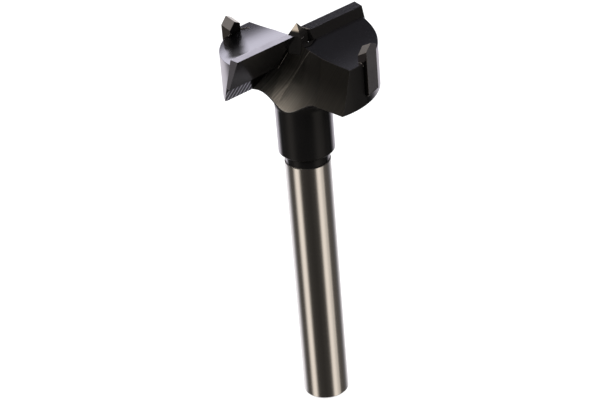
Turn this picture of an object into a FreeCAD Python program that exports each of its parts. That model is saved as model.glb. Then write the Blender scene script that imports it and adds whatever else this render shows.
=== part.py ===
import FreeCAD, Part
import math
import os

# Hinge boring bit: a one-piece steel body with a cylindrical shank, and brazed carbide cutters.
# The frame: millimetres, +Z from the shank's end towards the point, origin on the axis at the
# shank's end face, X along the two main cutting edges. The bit turns anticlockwise seen from the tip,
# and all of it repeats after half a turn about Z.

# Cutting size, from which the whole head takes its radius and its heights
cut_radius = 17.5
cut_height = 90.1

# Shank and collar
shank_radius = 5.0
shank_length = 59.8
shank_chamfer = 0.5
neck_radius = 4.8
neck_length = 2.3
collar_radius = 6.1
collar_chamfer = 0.4
collar_start = shank_length + neck_length

# Head
head_clearance = 0.9
head_depth = 13.3
head_edge = 0.25
underside_fillet = 3.5
lobe_drop = 1.8
lobe_slope = 5.2
lobe_hollow = 0.38
head_radius = cut_radius - head_clearance
head_underside = cut_height - head_depth
lobe_height = cut_height - lobe_drop

# Seat wall on the leading side of a lobe, at an angle to the axis
seat_angle = 26.9
seat_foot_y = 7.78

# Trailing wall of the other lobe
trail_angle = 13.1
trail_turn = 4.3
trail_foot = 4.35

# Core ramp between the two walls, split by a crease
web_half = 1.1
web_half_at_seat = 0.3
ramp_radius = 14.5
ramp_drop = 2.3
ramp_limit = 34.5
ramp_limit_at_seat = 50.0
crease_foot_y = 1.7
crease_depth = 4.8
crease_bow = 0.027
hook_y = -8.7
ramp_start = cut_height - ramp_drop
crease_foot_z = head_underside - crease_depth

# Main cutters
cutter_width = 2.5
cutter_depth = 9.0
rake_angle = 32.6
cutter_clearance = 5.7
cutter_inner_end = 2.1
cutter_inner_slant = 12.0
cutter_side_relief = 2.0
cutter_side_taper = 9.5
cutter_foot = cut_height - cutter_depth

# Scoring spurs
spur_azimuth = -71.7
spur_width = 4.1
spur_thickness = 2.05
spur_clearance = 0.1
spur_rise = 0.55
spur_length = 11.25
spur_roof_angle = 31.0
spur_ridge_angle = 27.7
spur_radius = cut_radius - spur_clearance
spur_tip = cut_height + spur_rise
spur_foot = spur_tip - spur_length

# Centre point
point_rise = 2.0
point_neck_rise = 0.4
point_shoulder_drop = 0.5
point_depth = 4.6
point_side = 3.1
point_neck_side = 2.0
point_turn = 21.0
point_tip = cut_height + point_rise
point_neck = cut_height + point_neck_rise
point_shoulder = cut_height - point_shoulder_drop
point_seat = cut_height - point_depth

# Lengths that the cut-away shapes reach beyond the metal, and beyond each other
overrun = 4.0
core_overrun = 2.0
gullet_overrun = 1.0

SECTIONS = 9
HALF_TURN = 180.0
FULL_TURN = 360.0


def vector(x, y, z):
    return FreeCAD.Vector(x, y, z)


def rotated(shape, degrees):
    turned = shape.copy()
    turned.rotate(vector(0, 0, 0), vector(0, 0, 1), degrees)
    return turned


def polygon_face(points):
    return Part.Face(Part.makePolygon(points + [points[0]]))


def tangent(degrees):
    return math.tan(math.radians(degrees))


def seat_y(z):
    """Where the seat wall stands at a height: it leans back towards the shank."""
    return seat_foot_y - (z - head_underside) * tangent(seat_angle)


def trail_x(y, z):
    """Where the trailing wall stands: it spreads towards the shank."""
    turn = math.radians(trail_turn)
    reach = trail_foot - (z - head_underside) * tangent(trail_angle)
    return -(reach + y * math.sin(turn)) / math.cos(turn)


def ramp_x(y, z, web, steepest):
    """The core ramp: upright by the tip, then an arc that flares towards the shank and runs out straight."""
    lean = math.radians(seat_angle)
    travel = (ramp_start - z) * math.cos(lean) + y * math.sin(lean) - seat_y(ramp_start) * math.sin(lean)
    limit = math.radians(steepest)
    arc_travel = min(max(travel, 0.0), ramp_radius * math.sin(limit))
    straight_travel = max(travel - ramp_radius * math.sin(limit), 0.0)
    flare = ramp_radius - math.sqrt(ramp_radius ** 2 - arc_travel ** 2)
    return -(web + flare + straight_travel * math.tan(limit))


def crease_y(z):
    rise = max(z - crease_foot_z, 0.0)
    return crease_foot_y - crease_bow * rise ** 2


def core_section(z):
    """The core left between the gullets at a height, on the side of one gullet."""
    reach = head_radius + overrun
    past_seat = seat_y(z) + core_overrun
    corners = [
        vector(ramp_x(past_seat, z, web_half_at_seat, ramp_limit_at_seat), past_seat, z),
        vector(ramp_x(crease_y(z), z, web_half, ramp_limit), crease_y(z), z),
        vector(trail_x(hook_y, z), hook_y, z),
        vector(trail_x(-reach, z), -reach, z),
        vector(reach, -reach, z),
        vector(reach, past_seat, z),
    ]
    return Part.makePolygon(corners + [corners[0]])


def core():
    bottom = head_underside - underside_fillet - core_overrun
    top = lobe_height + overrun
    step = (top - bottom) / (SECTIONS - 1)
    sections = [core_section(bottom + step * index) for index in range(SECTIONS)]
    return Part.makeLoft(sections, True, False)


def gullet():
    """The space in front of one seat wall, down to the core and the other lobe's trailing wall."""
    reach = head_radius + overrun
    bottom = head_underside - underside_fillet - gullet_overrun
    top = lobe_height + gullet_overrun
    side = [
        vector(-reach, seat_y(bottom), bottom),
        vector(-reach, seat_y(top), top),
        vector(-reach, -reach, top),
        vector(-reach, -reach, bottom),
    ]
    space = polygon_face(side).extrude(vector(reach + web_half, 0, 0))
    return space.cut(core())


def turned_blank():
    """The lathe-turned steel: chamfered shank, neck, collar and a head that blends into the collar."""
    fillet_end = collar_radius + underside_fillet
    fillet_foot = head_underside - underside_fillet
    middle = underside_fillet * math.sqrt(0.5)
    outline = [
        Part.makePolygon([
            vector(fillet_end, 0, head_underside),
            vector(head_radius - head_edge, 0, head_underside),
            vector(head_radius, 0, head_underside + head_edge),
            vector(head_radius, 0, lobe_height),
            vector(0, 0, lobe_height),
            vector(0, 0, 0),
            vector(shank_radius - shank_chamfer, 0, 0),
            vector(shank_radius, 0, shank_chamfer),
            vector(shank_radius, 0, shank_length),
            vector(neck_radius, 0, shank_length),
            vector(neck_radius, 0, collar_start),
            vector(collar_radius - collar_chamfer, 0, collar_start),
            vector(collar_radius, 0, collar_start + collar_chamfer),
            vector(collar_radius, 0, fillet_foot),
        ]),
        Part.Arc(
            vector(collar_radius, 0, fillet_foot),
            vector(fillet_end - middle, 0, fillet_foot + middle),
            vector(fillet_end, 0, head_underside),
        ).toShape(),
    ]
    edges = [edge for piece in outline for edge in piece.Edges]
    profile = Part.Face(Part.Wire(Part.__sortEdges__(edges)))
    return profile.revolve(vector(0, 0, 0), vector(0, 0, 1), FULL_TURN)


def lobe_z(y):
    """The height of a lobe's top, which is ground hollow behind its cutter."""
    share = y / head_radius
    return lobe_height - y * tangent(lobe_slope) - 4 * lobe_hollow * share * (1 - share)


def lobe_arc(reach, side):
    """One lobe's top seen along X, from the axis outwards."""
    points = [vector(-reach, side * y, lobe_z(y)) for y in (0, reach / 2, reach)]
    return Part.Arc(*points).toShape()


def lobe_relief():
    """What is ground off the top, so that each lobe falls away behind its cutter."""
    reach = head_radius + overrun
    rest = Part.makePolygon([
        vector(-reach, reach, lobe_z(reach)),
        vector(-reach, reach, lobe_height + overrun),
        vector(-reach, -reach, lobe_height + overrun),
        vector(-reach, -reach, lobe_z(reach)),
    ])
    edges = [lobe_arc(reach, 1)] + rest.Edges + [lobe_arc(reach, -1)]
    side = Part.Face(Part.Wire(Part.__sortEdges__(edges)))
    return side.extrude(vector(2 * reach, 0, 0))


def half_space(corner, slant, taper):
    """What lies on the far side, towards +X, of a plane through a corner: slant about Z, then taper about Y."""
    reach = 2 * cut_radius
    block = Part.makeBox(reach, 2 * reach, 2 * reach, vector(0, -reach, -reach))
    block.rotate(vector(0, 0, 0), vector(0, 1, 0), taper)
    block.rotate(vector(0, 0, 0), vector(0, 0, 1), slant)
    block.translate(corner)
    return block


def main_cutter():
    """A carbide plate on the seat wall, with a raked face, relieved top and relieved ends."""
    edge_y = -cutter_width / 2
    back_y = seat_y(cut_height)
    back_z = cut_height - (back_y - edge_y) * tangent(cutter_clearance)
    foot_y = edge_y + (cut_height - cutter_foot) * tangent(rake_angle)
    side = [
        vector(0, edge_y, cut_height),
        vector(0, seat_y(back_z), back_z),
        vector(0, seat_y(cutter_foot), cutter_foot),
        vector(0, foot_y, cutter_foot),
    ]
    plate = polygon_face(side).extrude(vector(-cut_radius - overrun, 0, 0))
    edge_x = math.sqrt(cut_radius ** 2 - edge_y ** 2)
    inside = half_space(vector(-cutter_inner_end, 0, cut_height), cutter_inner_slant, 0)
    outside = half_space(vector(-edge_x, edge_y, cut_height), HALF_TURN - cutter_side_relief, cutter_side_taper)
    return plate.cut([inside, outside])


def spur_profile(radius, top):
    half = spur_width / 2
    shoulder = top - half * tangent(spur_roof_angle)
    return Part.makePolygon([
        vector(radius, -half, spur_foot),
        vector(radius, half, spur_foot),
        vector(radius, half, shoulder),
        vector(radius, 0, top),
        vector(radius, -half, shoulder),
        vector(radius, -half, spur_foot),
    ])


def spur():
    """A carbide bar let into the rim, its roof-shaped tip falling towards the axis."""
    inner_top = spur_tip - spur_thickness * tangent(spur_ridge_angle)
    profiles = [
        spur_profile(spur_radius - spur_thickness, inner_top),
        spur_profile(spur_radius, spur_tip),
    ]
    return rotated(Part.makeLoft(profiles, True, True), spur_azimuth)


def spur_slot():
    corner = vector(spur_radius - spur_thickness, -spur_width / 2, spur_foot)
    slot = Part.makeBox(spur_thickness + overrun, spur_width, lobe_height + overrun - spur_foot, corner)
    return rotated(slot, spur_azimuth)


def square_at(side, z):
    half = side / 2
    return Part.makePolygon([
        vector(-half, -half, z),
        vector(half, -half, z),
        vector(half, half, z),
        vector(-half, half, z),
        vector(-half, -half, z),
    ])


def centre_point():
    """A square carbide pin in the web, stepped in to a four-sided point."""
    pin = Part.Face(square_at(point_side, point_seat)).extrude(vector(0, 0, point_shoulder - point_seat))
    step = Part.makeLoft([square_at(point_side, point_shoulder), square_at(point_neck_side, point_neck)], True, True)
    apex = Part.Vertex(vector(0, 0, point_tip))
    tip = Part.makeLoft([square_at(point_neck_side, point_neck), apex], True, True)
    return rotated(pin.fuse([step, tip]).removeSplitter(), point_turn)


def point_pocket():
    depth = lobe_height + overrun - point_seat
    pocket = Part.Face(square_at(point_side, point_seat)).extrude(vector(0, 0, depth))
    return rotated(pocket, point_turn)


def cutter_body():
    one_gullet = gullet()
    one_slot = spur_slot()
    cuts = [
        lobe_relief(),
        one_gullet,
        rotated(one_gullet, HALF_TURN),
        one_slot,
        rotated(one_slot, HALF_TURN),
        point_pocket(),
    ]
    return turned_blank().cut(cuts).removeSplitter()


def build():
    first_cutter = main_cutter()
    first_spur = spur()
    return {
        "cutter_body": cutter_body(),
        "main_cutter_1": first_cutter,
        "main_cutter_2": rotated(first_cutter, HALF_TURN),
        "spur_1": first_spur,
        "spur_2": rotated(first_spur, HALF_TURN),
        "centre_point": centre_point(),
    }


def main():
    os.makedirs("parts", exist_ok=True)
    for name, shape in build().items():
        solids = shape.Solids
        piece = solids[0] if len(solids) == 1 else Part.makeCompound(solids)
        piece.exportStep("parts/" + name + ".step")
        box = piece.BoundBox
        print(name, len(solids), "solid", round(piece.Volume, 2), "mm3", piece.isValid(),
              [round(v, 2) for v in (box.XMin, box.YMin, box.ZMin, box.XMax, box.YMax, box.ZMax)])


main()
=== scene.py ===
import math
import random

import bmesh
import bpy
from mathutils import Matrix, Vector


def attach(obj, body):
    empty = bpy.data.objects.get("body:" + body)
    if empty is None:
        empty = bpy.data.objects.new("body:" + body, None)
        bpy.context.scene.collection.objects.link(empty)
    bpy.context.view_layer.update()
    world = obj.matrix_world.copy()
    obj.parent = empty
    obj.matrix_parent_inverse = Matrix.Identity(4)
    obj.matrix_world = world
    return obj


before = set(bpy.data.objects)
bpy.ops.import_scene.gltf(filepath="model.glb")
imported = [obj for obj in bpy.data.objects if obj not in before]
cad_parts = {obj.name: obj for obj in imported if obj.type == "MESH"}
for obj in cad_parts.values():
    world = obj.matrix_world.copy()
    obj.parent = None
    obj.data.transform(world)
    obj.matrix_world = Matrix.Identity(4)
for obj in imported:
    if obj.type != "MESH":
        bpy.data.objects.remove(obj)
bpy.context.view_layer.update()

# Where the part's own surfaces are: heights and radii in metres
SHANK_TOP = 0.0598
COLLAR_TOP = 0.0733
HEAD_BOTTOM = 0.0768
LOWEST_TOP = 0.080
HEAD_RIM = 0.0164
CLOSE = 0.00002

# The fillet between collar and head: its radius, and the radius at which its centre runs
FILLET = 0.0035
FILLET_CENTRE = 0.0096

# The crease of a ramp starts at this y and z, bows back with the height squared, and ends at this radius
CREASE_FOOT = (0.0017, 0.0720)
CREASE_BOW = 27.0
CREASE_REACH = 0.0075

# The seat walls and ramps lean back by this much for each metre of height
SEAT_LEAN = math.tan(math.radians(26.9))

# The marks that the cutter left on the seat walls: the direction across them, how far apart they are, and
# where they start
ACROSS_MARKS = (0.949, 0.142, -0.281)
SEAT_PITCH = 0.00110
SEAT_PHASE = 2 * math.pi * 0.030817 / SEAT_PITCH

# The near-black that the carbide takes low down. The seat walls turn black at two limits: along a direction on their
# inner part, and by the height on their upper part, where it is a painted shadow of the plate.
LOW_BLACK = (0.0060, 0.0054, 0.0052)
SEAT_BLACK_TOWARD = (0.907, -0.193, 0.380)
SEAT_BLACK_FROM = (0.02115, 0.02140)
SEAT_SHADOW_HEIGHT = (0.07970, 0.07995)

# The painted reflection of one spur, a dark patch on the top beside it: the directions across and along it, and
# where its middle lies across
ACROSS_SPUR_REFLECTION = (0.82, -0.57, 0)
ALONG_SPUR_REFLECTION = (-0.57, -0.82, 0)
SPUR_REFLECTION_MIDDLE = -0.0132

# The photograph's camera, in the part's frame
CAMERA_AT = Vector((-0.27675105, -0.33334825, 0.30373474))
CAMERA_RIGHT = Vector((0.74268224, -0.66557409, -0.07371716))
CAMERA_UP = Vector((0.38589625, 0.33541767, 0.85940623))
CAMERA_FORWARD = Vector((0.54727248, 0.66671292, -0.50595130))
CAMERA_LENS = 139.21

# Painted light and shade on the ramps: how bright they are. On the open side of the crease: by the place across the
# cutting edges, times a fade by the height. On the cutter's side: by the height. Places and heights are in metres.
OPEN_PAINTED_TONE = [(-0.013, 0.085), (-0.009, 0.10), (-0.0075, 0.135), (-0.0065, 0.155), (-0.005, 0.175), (-0.004, 0.215),
             (-0.003, 0.27), (-0.002, 0.33), (-0.001, 0.39), (0.0, 0.44), (0.001, 0.46)]
OPEN_PAINTED_FADE = [(0.0770, 0.96), (0.0782, 0.86), (0.0790, 0.78), (0.0800, 0.68), (0.0810, 0.56), (0.0824, 0.45),
             (0.0830, 0.42)]
CUTTER_PAINTED_TONE = [(0.0750, 0.47), (0.0759, 0.45), (0.0776, 0.39), (0.0790, 0.23), (0.0803, 0.17), (0.0814, 0.13),
               (0.0822, 0.10), (0.0830, 0.09)]

# Level directions of the studio: across the photograph and away from the camera
ACROSS = Vector((CAMERA_RIGHT.x, CAMERA_RIGHT.y, 0)).normalized()
AWAY = Vector((CAMERA_FORWARD.x, CAMERA_FORWARD.y, 0)).normalized()


class Nodes:
    """Short calls for building a node tree."""

    def __init__(self, tree):
        self.tree = tree
        tree.nodes.clear()

    def add(self, kind, *values, **settings):
        node = self.tree.nodes.new(kind)
        for name, value in settings.items():
            setattr(node, name, value)
        for socket, value in zip(node.inputs, values):
            self.feed(socket, value)
        return node

    def feed(self, socket, value):
        if isinstance(value, bpy.types.NodeSocket):
            self.tree.links.new(value, socket)
        elif value is not None:
            socket.default_value = value

    def math(self, operation, *values, clamp=False):
        return self.add("ShaderNodeMath", *values, operation=operation, use_clamp=clamp).outputs[0]

    def times(self, first, *others):
        """The product of numbers."""
        for other in others:
            first = self.math("MULTIPLY", first, other)
        return first

    def most(self, first, *others):
        """The largest of numbers."""
        for other in others:
            first = self.math("MAXIMUM", first, other)
        return first

    def dot(self, vector, direction):
        node = self.add("ShaderNodeVectorMath", vector, tuple(direction), operation="DOT_PRODUCT")
        return node.outputs["Value"]

    def smooth(self, value, low, high):
        """0 up to low and 1 from high on, or the other way round where low is above high."""
        turned = low > high
        ends = (high, low) if turned else (low, high)
        levels = (1.0, 0.0) if turned else (0.0, 1.0)
        node = self.add("ShaderNodeMapRange", value, *ends, *levels, interpolation_type="SMOOTHSTEP")
        return node.outputs[0]

    def mix(self, factor, a, b):
        """A mix of two numbers."""
        node = self.add("ShaderNodeMix", data_type="FLOAT")
        for socket, value in zip((node.inputs[0], node.inputs[2], node.inputs[3]), (factor, a, b)):
            self.feed(socket, value)
        return node.outputs[0]

    def tint(self, factor, a, b):
        """A mix of two colours."""
        node = self.add("ShaderNodeMix", data_type="RGBA")
        for socket, value in zip((node.inputs[0], node.inputs[6], node.inputs[7]), (factor, a, b)):
            self.feed(socket, (*value, 1.0) if isinstance(value, tuple) else value)
        return node.outputs[2]

    def scaled(self, colour, level):
        """A colour times a number."""
        return self.add("ShaderNodeVectorMath", colour, None, None, level, operation="SCALE").outputs[0]

    def ramp(self, value, stops):
        """A colour or level that a value from 0 to 1 runs through, from stop to stop."""
        node = self.add("ShaderNodeValToRGB", value)
        elements = node.color_ramp.elements
        while len(elements) < len(stops):
            elements.new(0.5)
        for element, (position, colour) in zip(elements, stops):
            element.position = position
        for element, (position, colour) in zip(elements, stops):
            element.color = (*colour, 1.0) if isinstance(colour, tuple) else (colour, colour, colour, 1.0)
        return node.outputs[0]

    def tone(self, value, stops):
        """A level that a value runs through, where the stops are values themselves."""
        start, span = stops[0][0], stops[-1][0] - stops[0][0]
        share = self.math("MULTIPLY_ADD", value, 1 / span, -start / span)
        return self.ramp(share, [((at - start) / span, level) for at, level in stops])

    def noise(self, vector, scale, detail=3.0, roughness=0.5):
        node = self.add("ShaderNodeTexNoise")
        self.feed(node.inputs["Vector"], vector)
        self.feed(node.inputs["Scale"], scale)
        self.feed(node.inputs["Detail"], detail)
        self.feed(node.inputs["Roughness"], roughness)
        return node.outputs["Fac"]

    def lines(self, value, per_metre, detail=2.0, roughness=0.6):
        """Irregular parallel lines across a coordinate."""
        node = self.add("ShaderNodeTexNoise", noise_dimensions="1D")
        self.feed(node.inputs["W"], self.math("MULTIPLY", value, per_metre))
        self.feed(node.inputs["Scale"], 1.0)
        self.feed(node.inputs["Detail"], detail)
        self.feed(node.inputs["Roughness"], roughness)
        return node.outputs["Fac"]


def make_camera():
    data = bpy.data.cameras.new("camera")
    data.lens = CAMERA_LENS
    data.sensor_width = 36.0
    data.clip_start = 0.01
    data.clip_end = 10.0
    camera = bpy.data.objects.new("camera", data)
    bpy.context.scene.collection.objects.link(camera)
    axes = Matrix((CAMERA_RIGHT, CAMERA_UP, -CAMERA_FORWARD)).transposed().to_4x4()
    camera.matrix_world = Matrix.Translation(CAMERA_AT) @ axes
    bpy.context.scene.camera = camera


# The studio that polished metal reflects, in rings from under the bit to over it. Each gives a brightness by
# the angle from the camera round the bit: a soft box on each side of the camera, and a bright backdrop behind.
# The backdrop is cool from BACKDROP_FROM on. Angles are in degrees.
WARM = (1.0, 0.92, 0.83)
COOL = (0.97, 0.95, 1.0)
BACKDROP_FROM = 112
RINGS = [
    [(-180, 1.0), (-146, 1.0), (-126, 0.30), (-100, 0.10), (100, 0.10), (125, 0.20), (148, 0.20), (162, 0.30),
     (172, 1.0), (180, 1.0)],
    [(-180, 1.0), (-140, 1.0), (-131, 0.70), (-119, 0.30), (-108, 0.10), (-94, 0.075), (-87, 0.10), (-80, 0.36),
     (-73, 0.80), (-66, 1.0), (-55, 0.95), (-47, 0.36), (-40, 0.065), (-24, 0.036), (0, 0.028), (20, 0.042),
     (29, 0.070), (36, 0.25), (42, 0.85), (50, 1.0), (58, 0.88), (66, 0.62), (72, 0.62), (79, 0.17), (84, 0.095),
     (104, 0.085), (120, 0.13), (136, 0.42), (150, 0.80), (180, 1.0)],
    [(-180, 1.0), (-150, 0.80), (-125, 0.05), (-86, 0.012), (-60, 0.03), (-30, 0.02), (120, 0.03), (150, 0.8),
     (180, 1.0)],
    [(-180, 0.88), (-163, 0.88), (-148, 0.24), (-125, 0.18), (-98, 0.22), (-89, 0.34), (-80, 0.52), (-66, 0.95),
     (-52, 0.90), (-40, 0.08), (-30, 0.03), (60, 0.05), (120, 0.05), (148, 0.08), (163, 0.88), (180, 0.88)],
    [(-180, 0.085), (-152, 0.085), (-138, 0.25), (-118, 0.40), (-96, 0.55), (-80, 0.90), (-66, 1.0), (-50, 0.90),
     (-38, 0.50), (-28, 0.08), (0, 0.03), (150, 0.07), (180, 0.085)],
    [(-180, 0.018), (-120, 0.03), (-90, 0.22), (-70, 0.65), (-42, 0.65), (-28, 0.08), (0, 0.03), (180, 0.018)],
    [(-180, 0.27), (180, 0.27)],
]
# Heights, as sines, between which one ring passes into the next
PASSES = [(-0.80, -0.58), (-0.40, -0.26), (0.02, 0.22), (0.305, 0.39), (0.38, 0.57), (0.84, 0.94)]


def ring_stops(ring):
    stops = []
    for angle, level in ring:
        tone = COOL if abs(angle) > BACKDROP_FROM else WARM
        stops.append((0.5 + angle / 360, tuple(level * part for part in tone)))
    return stops


def make_world():
    world = bpy.data.worlds.new("studio")
    bpy.context.scene.world = world
    world.use_nodes = True
    n = Nodes(world.node_tree)
    direction = n.add("ShaderNodeTexCoord").outputs["Generated"]
    toward = n.math("MULTIPLY", n.dot(direction, AWAY), -1.0)
    angle = n.math("ARCTAN2", n.dot(direction, ACROSS), toward)
    turn = n.math("MULTIPLY_ADD", angle, 0.5 / math.pi, 0.5)
    height = n.dot(direction, (0, 0, 1))
    shade = n.ramp(turn, ring_stops(RINGS[0]))
    for ring, (low, high) in zip(RINGS[1:], PASSES):
        shade = n.tint(n.smooth(height, low, high), shade, n.ramp(turn, ring_stops(ring)))
    light = n.add("ShaderNodeLightPath")
    mirrored = n.math("ADD", light.outputs["Is Glossy Ray"], light.outputs["Is Transmission Ray"], clamp=True)
    seen = n.tint(mirrored, (0.80, 0.80, 0.80), shade)
    shown = n.tint(light.outputs["Is Camera Ray"], seen, (1.0, 1.0, 1.0))
    background = n.add("ShaderNodeBackground", shown, 1.0)
    n.add("ShaderNodeOutputWorld", background.outputs[0])


def make_floor():
    mesh = bpy.data.meshes.new("floor")
    reach = 3.0
    corners = [(-reach, -reach, 0), (reach, -reach, 0), (reach, reach, 0), (-reach, reach, 0)]
    mesh.from_pydata(corners, [], [(0, 1, 2, 3)])
    floor = bpy.data.objects.new("floor", mesh)
    bpy.context.scene.collection.objects.link(floor)
    floor.visible_glossy = False
    material = bpy.data.materials.new("floor")
    material.use_nodes = True
    n = Nodes(material.node_tree)
    diffuse = n.add("ShaderNodeBsdfDiffuse", (0.30, 0.30, 0.30, 1.0))
    light = n.add("ShaderNodeLightPath")
    glow = n.math("MULTIPLY", light.outputs["Is Camera Ray"], 0.80)
    emission = n.add("ShaderNodeEmission", (1.0, 1.0, 1.0, 1.0), glow)
    both = n.add("ShaderNodeAddShader", diffuse.outputs[0], emission.outputs[0])
    n.add("ShaderNodeOutputMaterial", both.outputs[0])
    mesh.materials.append(material)


def make_light(name, side, depth, height, size, watts):
    """A soft box that shades the bit but isn't seen in it: the studio's own soft boxes are in the world."""
    data = bpy.data.lights.new(name, "AREA")
    data.shape = "SQUARE"
    data.size = size
    data.energy = watts
    light = bpy.data.objects.new(name, data)
    bpy.context.scene.collection.objects.link(light)
    light.location = ACROSS * side + AWAY * depth + Vector((0, 0, height))
    target = Vector((0, 0, 0.06))
    light.rotation_euler = (target - light.location).to_track_quat("-Z", "Y").to_euler()
    light.visible_camera = False
    light.visible_glossy = False


def new_material(name):
    material = bpy.data.materials.new(name)
    material.use_nodes = True
    n = Nodes(material.node_tree)
    shader = n.add("ShaderNodeBsdfPrincipled")
    n.add("ShaderNodeOutputMaterial", shader.outputs[0])
    return material, n, shader


def folded(n, vector, side):
    """A place or direction, with one half of the bit turned onto the other."""
    flip = n.math("MULTIPLY", n.math("SIGN", side), -1.0)
    parts = n.add("ShaderNodeSeparateXYZ", vector)
    x = n.math("MULTIPLY", parts.outputs[0], flip)
    y = n.math("MULTIPLY", parts.outputs[1], flip)
    return n.add("ShaderNodeCombineXYZ", x, y, parts.outputs[2]).outputs[0]


def worn_edges(n, place, radius):
    """Edges rounded by a radius, and how far a place is on such an edge."""
    rounded = n.add("ShaderNodeBevel", radius, samples=6).outputs[0]
    facing = n.add("ShaderNodeNewGeometry").outputs["True Normal"]
    sharpness = n.add("ShaderNodeVectorMath", rounded, facing, operation="DOT_PRODUCT").outputs["Value"]
    patches = n.noise(place, 900.0, 4.0)
    edge = n.math("MULTIPLY", n.smooth(sharpness, 0.985, 0.80), n.smooth(patches, 0.3, 0.7))
    return rounded, edge


def relief(n, shader, height, normal):
    """Relief given in metres."""
    bump = n.add("ShaderNodeBump")
    for name, value in (("Strength", 1.0), ("Distance", 1.0), ("Height", height), ("Normal", normal)):
        n.feed(bump.inputs[name], value)
    n.feed(shader.inputs["Normal"], bump.outputs[0])


def ramp_colour(n, here, radius, across_ramp):
    """The ramps' worn coat with painted light and shade: brightest beside the crease and low down, darker higher up
    and next to the plate, with a painted highlight along the crease and the streaks that the chips left.
    """
    here_y, here_z = n.add("ShaderNodeSeparateXYZ", here).outputs[1:]
    bow = n.times(n.math("POWER", n.math("SUBTRACT", here_z, CREASE_FOOT[1]), 2.0), -CREASE_BOW)
    past_crease = n.math("SUBTRACT", here_y, n.math("ADD", bow, CREASE_FOOT[0]))
    streaks = n.smooth(n.lines(across_ramp, 2200.0, 3.0, 0.65), 0.3, 0.7)
    # Painted light and shade on the open side: lighter toward the crease and low down, darker high up, most of all
    # near the crease
    inner = n.times(n.smooth(here_z, 0.0788, 0.0802), n.smooth(here_y, -0.0045, -0.0025))
    open_painted_tone = n.times(n.tone(here_y, OPEN_PAINTED_TONE), n.tone(here_z, OPEN_PAINTED_FADE), n.mix(inner, 1.3, 0.81))
    # Painted shade on the cutter's side: darker higher up, and darker still next to the plate as a painted shadow of
    # it
    plate_shadow = n.smooth(here_y, 0.0029, 0.0036)
    cutter_painted_tone = n.times(n.tone(here_z, CUTTER_PAINTED_TONE), n.mix(plate_shadow, 1.0, 0.62))
    tone = n.mix(
        n.smooth(past_crease, -0.0001, 0.0001),
        n.times(open_painted_tone, n.mix(streaks, 0.93, 1.07)),
        n.times(cutter_painted_tone, n.mix(streaks, 0.82, 1.18)))
    ramp_lines = n.smooth(n.lines(across_ramp, 4200.0, 3.0, 0.7), 0.3, 0.7)
    colour = n.scaled((1.0, 0.935, 0.84), n.times(tone, n.mix(ramp_lines, 0.90, 1.10)))
    off_crease = n.math("ABSOLUTE", past_crease)
    # A painted highlight: a light line along the crease
    crease_highlight = n.times(n.smooth(off_crease, 0.00016, 0.00004), n.math("LESS_THAN", radius, CREASE_REACH))
    return n.tint(n.times(crease_highlight, 0.6), colour, (0.60, 0.56, 0.50)), ramp_lines


def painted_reflection_and_stain(n, place, y, radius):
    """The dark marks on the bare tops: a painted reflection of one spur as a dark patch beside it, and a stain round
    the point.
    """
    drift = n.math("MULTIPLY_ADD", n.noise(place, 400.0), 0.0012, -0.0006)
    off_spur_reflection = n.math("ADD", n.math("SUBTRACT", n.dot(place, ACROSS_SPUR_REFLECTION), SPUR_REFLECTION_MIDDLE), drift)
    along_spur_reflection = n.dot(place, ALONG_SPUR_REFLECTION)
    # A painted reflection: the dark patch beside one spur, where the top would mirror it
    spur_reflection = n.times(
        n.smooth(off_spur_reflection, -0.0024, -0.0005), n.smooth(off_spur_reflection, 0.0032, 0.0006),
        n.smooth(along_spur_reflection, 0.0046, 0.0022), n.math("GREATER_THAN", y, 0.0))
    round_point = n.smooth(n.math("ADD", radius, drift), 0.0042, 0.0032)
    return spur_reflection, round_point


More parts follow.
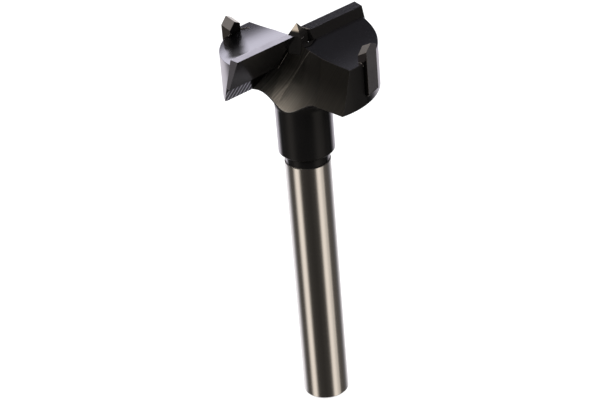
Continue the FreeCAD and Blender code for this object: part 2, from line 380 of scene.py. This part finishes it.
def body_material():
    """A head, collar and neck coated black, and a ground steel shank, each with the lines its tool left."""
    material, n, shader = new_material("coated_steel")
    place = n.add("ShaderNodeTexCoord").outputs["Object"]
    facing = n.add("ShaderNodeNewGeometry").outputs["True Normal"]
    x, y, z = n.add("ShaderNodeSeparateXYZ", place).outputs
    here = folded(n, place, x)
    normal = folded(n, facing, x)
    radius = n.math("SQRT", n.math("ADD", n.times(x, x), n.times(y, y)))
    upward = n.dot(facing, (0, 0, 1))
    level = n.smooth(n.math("ABSOLUTE", upward), 0.1, 0.05)

    # Which tool made a face
    on_shank = n.math("LESS_THAN", z, SHANK_TOP + CLOSE)
    in_head = n.math("GREATER_THAN", z, COLLAR_TOP)
    on_rim = n.times(n.math("GREATER_THAN", radius, HEAD_RIM), level)
    out = n.math("POWER", n.math("SUBTRACT", radius, FILLET_CENTRE), 2.0)
    up = n.math("POWER", n.math("SUBTRACT", z, COLLAR_TOP), 2.0)
    off_fillet = n.math("ABSOLUTE", n.math("SUBTRACT", n.math("SQRT", n.math("ADD", out, up)), FILLET))
    on_fillet = n.times(
        n.smooth(off_fillet, 0.00030, 0.00015), n.math("LESS_THAN", radius, FILLET_CENTRE),
        n.math("LESS_THAN", z, HEAD_BOTTOM))
    on_top = n.times(n.smooth(upward, 0.96, 0.98), n.math("GREATER_THAN", z, LOWEST_TOP))
    seat_normal = Vector((0, -1, -SEAT_LEAN)).normalized()
    on_seat = n.times(n.smooth(n.dot(normal, seat_normal), 0.97, 0.99), in_head)
    turned = n.most(on_rim, n.smooth(upward, -0.3, -0.5), on_fillet, n.math("SUBTRACT", 1.0, in_head))
    turned = n.times(turned, n.math("SUBTRACT", 1.0, on_seat))
    milled = n.math("SUBTRACT", 1.0, turned)

    # Their lines
    waver = n.math("MULTIPLY_ADD", n.noise(place, 60.0), 0.0010, -0.0005)
    height = n.math("ADD", z, n.times(waver, 0.05))
    turned_lines = n.lines(height, 5000.0)
    ground_lines = n.lines(height, 9000.0, 3.0, 0.7)
    across_ramp = n.math("ADD", n.dot(here, (0, 1, SEAT_LEAN)), n.times(waver, 0.5))
    along_seat = n.math("ADD", n.dot(here, ACROSS_MARKS), n.times(waver, 0.3))
    seat_waves = n.math("COSINE", n.math("MULTIPLY_ADD", along_seat, 2 * math.pi / SEAT_PITCH, SEAT_PHASE))
    seat_lines = n.smooth(n.math("MULTIPLY_ADD", n.lines(along_seat, 3200.0), 2.6, seat_waves), 1.1, 2.5)
    top_lines = n.lines(n.math("ADD", n.dot(here, (0.05, 1, 0)), waver), 4500.0)

    # Bare metal and the worn coat
    # The ramps' colour holds painted light and shade, with a painted highlight along the crease
    burnished_painted_light, ramp_lines = ramp_colour(n, here, radius, across_ramp)
    scored = n.tint(seat_lines, (0.12, 0.12, 0.135), (0.90, 0.89, 0.98))
    bare_top = n.tint(top_lines, (0.56, 0.55, 0.62), (0.68, 0.67, 0.75))
    steel = n.tint(ground_lines, (0.72, 0.69, 0.66), (0.88, 0.85, 0.81))

    # The black coat. The seat walls are black on their inner part, and black on their upper part as a painted shadow
    # of the plate. On the tops: a stain round the point, and a painted reflection of one spur as a dark patch beside
    # it.
    grain = n.noise(place, 2500.0, 5.0, 0.65)
    cloud = n.noise(place, 140.0, 3.0)
    black = n.tint(cloud, (0.0034, 0.0031, 0.0031), (0.0068, 0.0062, 0.0060))
    # Black on the seat walls' inner part, and a painted shadow of the plate as black on their upper part
    seat_black_and_shadow = n.most(
        n.smooth(n.dot(here, SEAT_BLACK_TOWARD), *SEAT_BLACK_FROM), n.smooth(z, *SEAT_SHADOW_HEIGHT))
    spur_reflection, round_point = painted_reflection_and_stain(n, place, y, radius)
    # The stain round the point, and the painted reflection beside one spur, both as black
    stain_and_painted_reflection = n.most(n.times(spur_reflection, 0.90), n.smooth(round_point, 0.0, 0.85))

    # An upright coated face that was turned has more gloss at a flat angle: it reflects as metal does there
    rounded, edge = worn_edges(n, place, 0.00015)
    edge = n.times(edge, n.times(n.smooth(radius, 0.0035, 0.0045), n.smooth(z, 0.0650, 0.0700)))
    flat_angle = n.add("ShaderNodeLayerWeight", 0.5, rounded).outputs["Facing"]
    glossy = n.times(turned, level)
    shine = n.times(glossy, n.smooth(flat_angle, 0.52, 0.74))
    mirrors = n.times(glossy, n.smooth(flat_angle, 0.44, 0.53))

    colour = n.tint(milled, n.tint(shine, black, (0.58, 0.55, 0.58)), burnished_painted_light)
    colour = n.tint(on_seat, colour, n.tint(seat_black_and_shadow, scored, black))
    colour = n.tint(on_top, colour, n.tint(stain_and_painted_reflection, bare_top, black))
    colour = n.tint(n.times(edge, 0.28), colour, (0.34, 0.33, 0.32))
    colour = n.tint(on_shank, colour, steel)
    metallic = n.mix(on_top, n.times(milled, 0.96), n.smooth(round_point, 0.95, 0.80))
    metallic = n.most(metallic, on_shank, n.times(edge, 0.6), mirrors)

    rough = n.mix(grain, 0.26, 0.36)
    rough = n.mix(milled, rough, n.mix(ramp_lines, 0.40, 0.50))
    rough = n.mix(on_seat, rough, 0.30)
    rough = n.mix(on_top, rough, n.mix(n.most(spur_reflection, round_point), n.mix(top_lines, 0.08, 0.15), 0.30))
    rough = n.mix(on_shank, rough, n.mix(ground_lines, 0.12, 0.20))

    # Heights in metres
    depth = n.mix(milled, n.times(turned_lines, 0.0000012), n.times(ramp_lines, 0.0000022))
    depth = n.mix(on_seat, depth, n.times(seat_lines, 0.000015))
    depth = n.mix(on_top, depth, n.times(top_lines, 0.0000014))
    depth = n.mix(on_shank, depth, n.times(ground_lines, 0.0000010))
    depth = n.math("MULTIPLY_ADD", grain, n.mix(on_top, 0.0000010, 0.0000002), depth)

    n.feed(shader.inputs["Base Color"], colour)
    n.feed(shader.inputs["Metallic"], metallic)
    n.feed(shader.inputs["Roughness"], rough)
    shader.inputs["IOR"].default_value = 1.30
    relief(n, shader, depth, rounded)
    return material


def carbide_material(name, ground, outer, side, finish, top_from, black_below, wiped, ior):
    """Cemented carbide: bright where it's ground, duller outside, and near-black low down.

    Ground tops face up by about top_from or more. The near-black is full below the first of the two heights given
    for it and gone above the second. Wiped is how far tops and outer faces are free of it.
    """
    material, n, shader = new_material(name)
    place = n.add("ShaderNodeTexCoord").outputs["Object"]
    facing = n.add("ShaderNodeNewGeometry").outputs["True Normal"]
    x, y, z = n.add("ShaderNodeSeparateXYZ", place).outputs
    out = n.add("ShaderNodeVectorMath", n.add("ShaderNodeCombineXYZ", x, y, 0.0).outputs[0], operation="NORMALIZE")
    facing_out = n.add("ShaderNodeVectorMath", out.outputs[0], facing, operation="DOT_PRODUCT").outputs["Value"]
    grain = n.noise(place, 3000.0, 4.0, 0.6)
    cloud = n.noise(place, 300.0, 2.0)
    lines = n.lines(n.dot(place, (0.35, 0.2, 1.0)), 8000.0)
    rounded, edge = worn_edges(n, place, 0.00008)
    outside = n.smooth(facing_out, 0.85, 0.93)
    on_top = n.smooth(n.dot(facing, (0, 0, 1)), top_from - 0.05, top_from + 0.05)
    colour = n.tint(on_top, n.tint(outside, side, outer), ground)
    shade = n.math("MULTIPLY_ADD", lines, 0.3, n.math("MULTIPLY_ADD", cloud, 0.3, -0.15))
    colour = n.tint(n.math("MULTIPLY", shade, 1.0, clamp=True), colour, (0.0, 0.0, 0.0))
    colour = n.tint(n.times(edge, 0.3), colour, ground)
    uneven = n.math("MULTIPLY_ADD", cloud, 0.0004, n.math("ADD", z, -0.0002))
    full, clean = black_below
    # Near-black low down, full below the first height and gone above the second, except where wiped
    blackened = n.times(n.smooth(uneven, clean, full), n.math("SUBTRACT", 1.0, n.times(n.most(outside, on_top), wiped)))
    colour = n.tint(blackened, colour, LOW_BLACK)
    n.feed(shader.inputs["Base Color"], colour)
    n.feed(shader.inputs["Metallic"], n.smooth(blackened, 1.0, 0.92))
    shader.inputs["IOR"].default_value = ior
    n.feed(shader.inputs["Roughness"], n.mix(grain, finish - 0.04, finish + 0.04))
    relief(n, shader, n.math("MULTIPLY_ADD", grain, 0.0000003, n.times(lines, 0.0000008)), rounded)
    return material


def braze_material():
    material, n, shader = new_material("braze")
    place = n.add("ShaderNodeTexCoord").outputs["Object"]
    grain = n.noise(place, 4000.0, 4.0, 0.6)
    n.feed(shader.inputs["Base Color"], n.tint(n.smooth(grain, 0.3, 0.7), (0.45, 0.42, 0.38), (0.85, 0.82, 0.76)))
    n.feed(shader.inputs["Metallic"], 1.0)
    n.feed(shader.inputs["Roughness"], n.mix(grain, 0.25, 0.45))
    relief(n, shader, n.times(grain, 0.00001), None)
    return material


BEAD_CORNERS = 10
BEAD_STEPS = 4


def make_bead(name, points, half_width, material):
    """A run of braze along points in millimetres, uneven and closed at both ends."""
    chance = random.Random(name)
    path = [Vector(point) / 1000 for point in points]
    mesh = bmesh.new()
    rings = []
    steps = BEAD_STEPS * (len(path) - 1)
    for index in range(steps + 1):
        share = index / BEAD_STEPS
        start = min(int(share), len(path) - 2)
        centre = path[start].lerp(path[start + 1], share - start)
        along = (path[start + 1] - path[start]).normalized()
        across = along.orthogonal().normalized()
        over = along.cross(across)
        swell = math.sin(math.pi * (index + 0.6) / (steps + 1.2)) ** 0.5
        width = half_width / 1000 * swell * chance.uniform(0.75, 1.15)
        ring = []
        for corner in range(BEAD_CORNERS):
            turn = 2 * math.pi * corner / BEAD_CORNERS
            offset = across * math.cos(turn) + over * math.sin(turn)
            ring.append(mesh.verts.new(centre + offset * width * chance.uniform(0.92, 1.08)))
        rings.append(ring)
    for ring, following in zip(rings, rings[1:]):
        for corner in range(BEAD_CORNERS):
            other = (corner + 1) % BEAD_CORNERS
            mesh.faces.new((ring[corner], ring[other], following[other], following[corner]))
    mesh.faces.new(rings[0][::-1])
    mesh.faces.new(rings[-1])
    for face in mesh.faces:
        face.smooth = True
    data = bpy.data.meshes.new(name)
    mesh.to_mesh(data)
    mesh.free()
    data.materials.append(material)
    bead = bpy.data.objects.new(name, data)
    bpy.context.scene.collection.objects.link(bead)
    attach(bead, "root")


# Where braze shows beside the carbide: points in millimetres, and half the width of the run in millimetres
BEADS = {
    "braze_spur_2_top": ([(-3.1, 15.05, 86.85), (-2.6, 15.35, 86.9), (-2.2, 14.8, 86.88), (-1.8, 14.9, 86.85),
                          (-1.4, 14.75, 86.85), (-1.25, 14.35, 86.88), (-1.55, 13.9, 86.87)], 0.13),
    "braze_spur_2_side": ([(-7.05, 14.6, 86.95), (-6.9, 14.15, 87.3), (-6.5, 13.98, 87.5)], 0.15),
    "braze_spur_1_top": ([(2.7, -15.45, 86.83), (3.0, -15.65, 86.9), (2.98, -16.1, 86.85), (3.02, -16.38, 86.5),
                          (3.08, -16.4, 86.1)], 0.07),
    "braze_spur_1_foot": ([(3.9, -16.2, 78.95), (4.4, -16.05, 78.75), (4.9, -15.9, 78.6)], 0.12),
    "braze_point_top": ([(2.13, 0.55, 90.07), (2.2, -0.03, 90.04), (2.24, -0.5, 90.0), (2.38, -0.86, 89.97),
                         (2.75, -1.15, 89.9)], 0.17),
    "braze_point_front": ([(-0.8, -1.98, 89.29), (-0.14, -1.74, 89.25), (0.44, -1.5, 89.15)], 0.16),
    "braze_cutter_1": ([(-1.0, 2.4, 84.9), (-1.35, 3.1, 83.6), (-1.85, 3.65, 82.45), (-2.65, 4.2, 80.95)], 0.12),
}


def paint(node, material):
    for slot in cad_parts[node].material_slots:
        slot.material = material


make_camera()
make_world()
make_floor()
make_light("key", side=0.45, depth=-0.30, height=0.60, size=0.5, watts=6.0)
make_light("fill", side=-0.50, depth=-0.20, height=0.45, size=0.5, watts=4.0)

paint("cutter_body", body_material())
main_carbide = carbide_material(
    "main_carbide", ground=(0.90, 0.88, 0.98), outer=(0.28, 0.26, 0.27), side=(0.40, 0.38, 0.39), finish=0.20,
    top_from=0.60, black_below=(0.0904, 0.0908), wiped=1.0, ior=1.25)
for name in ("main_cutter_1", "main_cutter_2"):
    paint(name, main_carbide)
spur_carbide = carbide_material(
    "spur_carbide", ground=(0.74, 0.68, 0.61), outer=(0.38, 0.36, 0.35), side=(0.045, 0.042, 0.040), finish=0.22,
    top_from=0.40, black_below=(0.0790, 0.0800), wiped=0.0, ior=1.30)
for name in ("spur_1", "spur_2"):
    paint(name, spur_carbide)
point_carbide = carbide_material(
    "point_carbide", ground=(0.90, 0.82, 0.72), outer=(0.30, 0.27, 0.24), side=(0.30, 0.27, 0.24), finish=0.18,
    top_from=0.40, black_below=(0.0904, 0.0909), wiped=0.0, ior=1.14)
paint("centre_point", point_carbide)
braze = braze_material()
for name, (points, half_width) in BEADS.items():
    make_bead(name, points, half_width, braze)

bpy.context.scene.view_settings.view_transform = "Standard"
